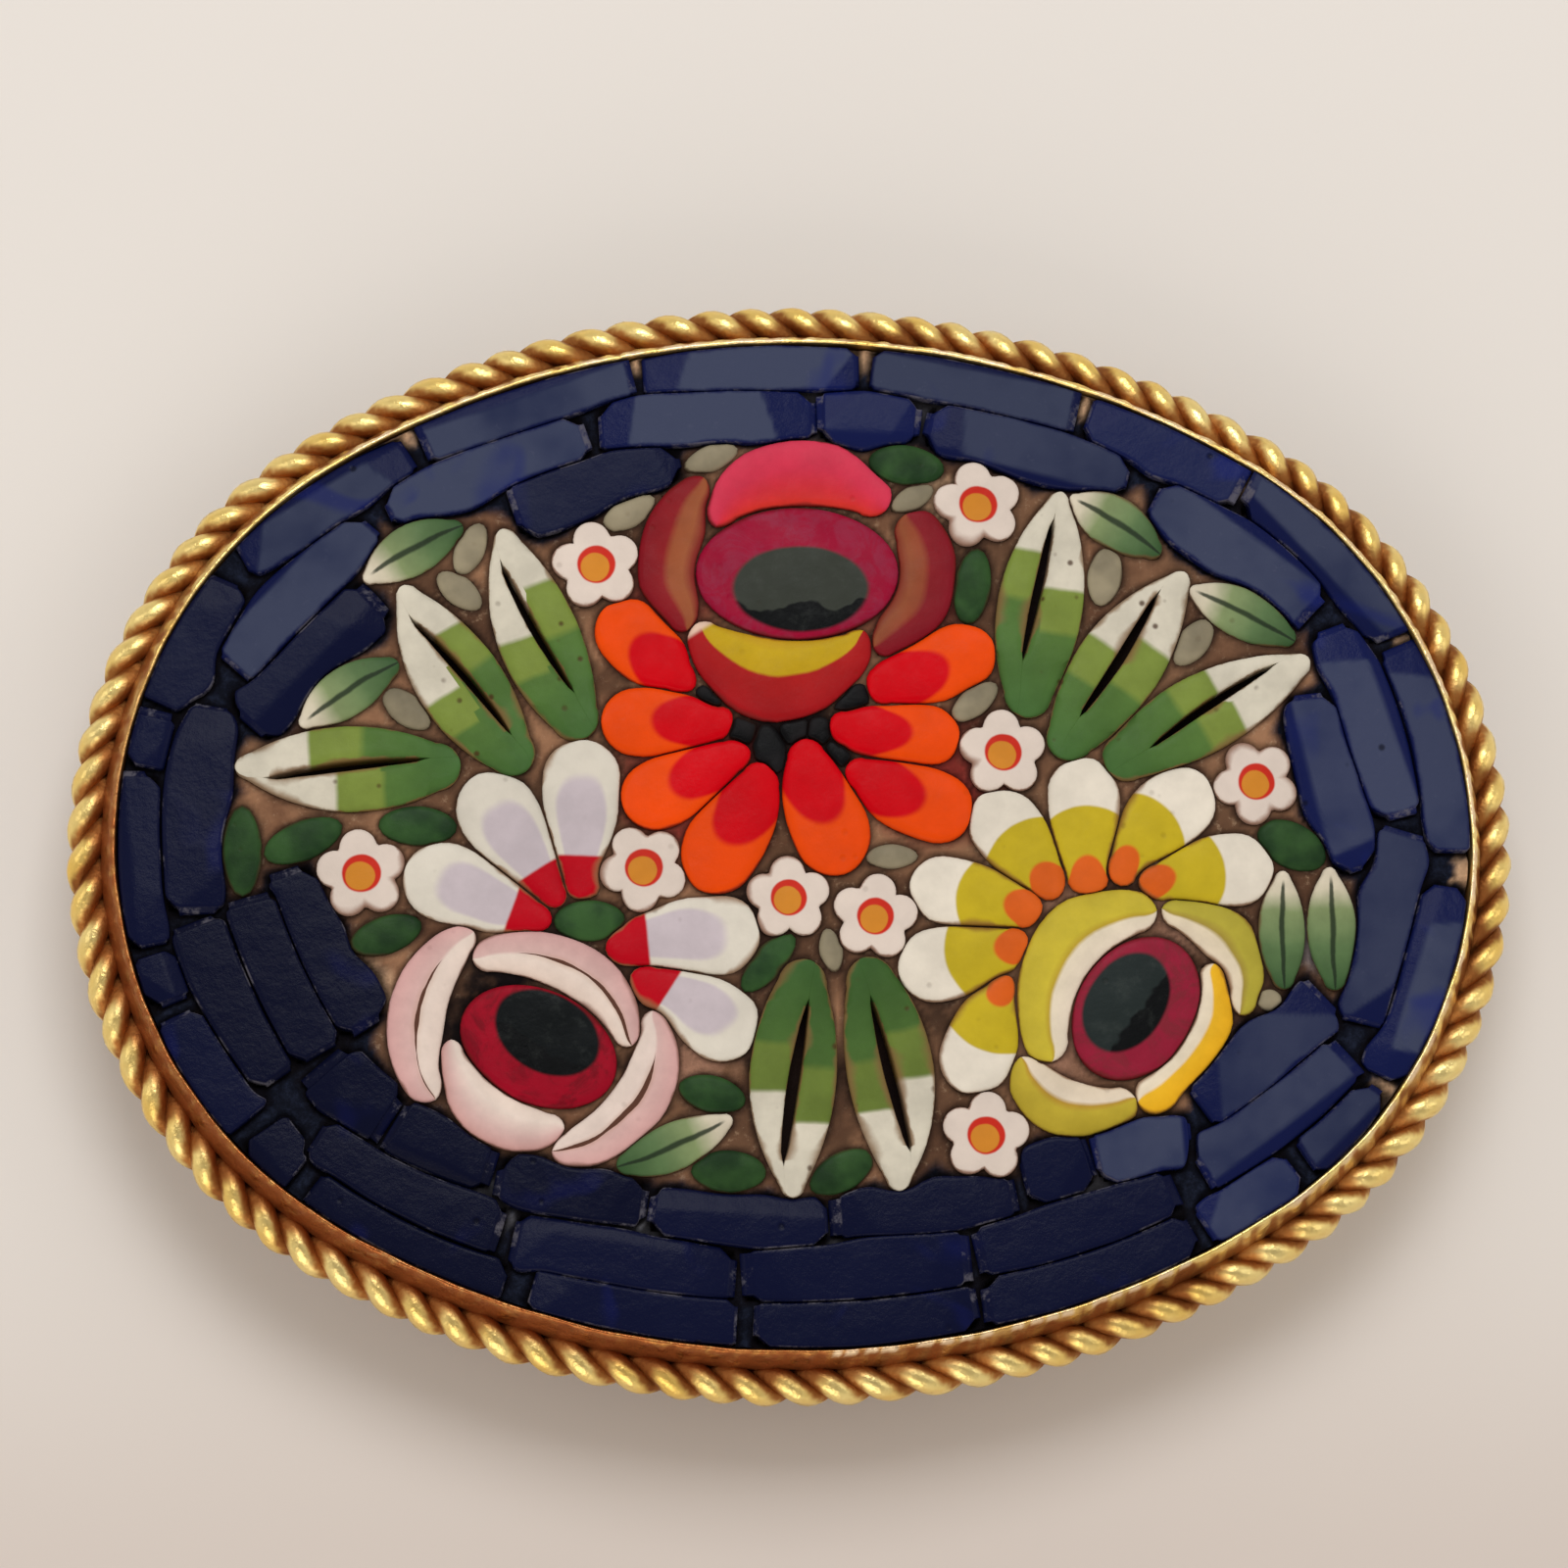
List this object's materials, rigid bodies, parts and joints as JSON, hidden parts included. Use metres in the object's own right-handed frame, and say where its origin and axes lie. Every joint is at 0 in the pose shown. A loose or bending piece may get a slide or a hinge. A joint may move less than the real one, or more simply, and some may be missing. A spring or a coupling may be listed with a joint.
{
  "type": "mosaic brooch",
  "caption": "Oval brooch with a floral glass micromosaic in blue ground, set in a gilt cup with a twisted wire border and a pin behind.",
  "frame": {"origin": "centre of the brooch's outline, at the surface that its back rests on", "axes": "+Z out of the mosaic's face, +X along the oval's long side, +Y towards the top of the bouquet"},
  "size_m": [0.044, 0.0338, 0.0058],
  "materials": {
    "gilt_brass": "polished, darker in the hollows",
    "mastic": "matt and grainy",
    "blue_glass": "opaque glass, softly polished",
    "leaf_glass": "opaque glass banded white, lime and green",
    "drop_glass": "opaque glass, green and grey",
    "small_leaf_glass": "opaque glass, white to green",
    "daisy_glass": "opaque glass, white with an orange and red eye",
    "black_glass": "opaque black glass",
    "red_petal_glass": "opaque glass, orange round red",
    "lilac_petal_glass": "opaque glass, white round lilac, crimson root",
    "yellow_petal_glass": "opaque glass, white tip, yellow, orange root",
    "red_rose_glass": "opaque glass in red bands",
    "pink_rose_glass": "opaque glass in pink and white bands",
    "yellow_rose_glass": "opaque glass in yellow and white bands",
    "heart_glass": "opaque glass, crimson ring round a dark core"
  },
  "bodies": {
    "root": {"bezel_tray": "gilt_brass", "black_chips": "black_glass", "cement_bed": "mastic", "daisies": "daisy_glass", "ground_tiles_lower": "blue_glass", "ground_tiles_upper": "blue_glass", "leaf_drops": "drop_glass", "leaf_east": "leaf_glass", "leaf_east_north_east": "leaf_glass", "leaf_north_east": "leaf_glass", "leaf_north_north_west": "leaf_glass", "leaf_north_west": "leaf_glass", "leaf_south_east": "leaf_glass", "leaf_south_west": "leaf_glass", "leaf_west": "leaf_glass", "lilac_petal_1": "lilac_petal_glass", "lilac_petal_2": "lilac_petal_glass", "lilac_petal_3": "lilac_petal_glass", "lilac_petal_4": "lilac_petal_glass", "lilac_petal_5": "lilac_petal_glass", "pin_back": "gilt_brass", "pink_rose_east": "pink_rose_glass", "pink_rose_heart": "heart_glass", "pink_rose_north": "pink_rose_glass", "pink_rose_south": "pink_rose_glass", "pink_rose_west": "pink_rose_glass", "red_petal_1": "red_petal_glass", "red_petal_2": "red_petal_glass", "red_petal_3": "red_petal_glass", "red_petal_4": "red_petal_glass", "red_petal_5": "red_petal_glass", "red_petal_6": "red_petal_glass", "red_petal_7": "red_petal_glass", "red_petal_8": "red_petal_glass", "red_rose_east": "red_rose_glass", "red_rose_heart": "heart_glass", "red_rose_south": "red_rose_glass", "red_rose_top": "red_rose_glass", "red_rose_west": "red_rose_glass", "small_leaves": "small_leaf_glass", "yellow_petal_1": "yellow_petal_glass", "yellow_petal_2": "yellow_petal_glass", "yellow_petal_3": "yellow_petal_glass", "yellow_petal_4": "yellow_petal_glass", "yellow_petal_5": "yellow_petal_glass", "yellow_petal_6": "yellow_petal_glass", "yellow_petal_7": "yellow_petal_glass", "yellow_rose_east": "yellow_rose_glass", "yellow_rose_heart": "heart_glass", "yellow_rose_north": "yellow_rose_glass", "yellow_rose_south": "yellow_rose_glass", "yellow_rose_south_east": "yellow_rose_glass"}
  },
  "joints": []
}
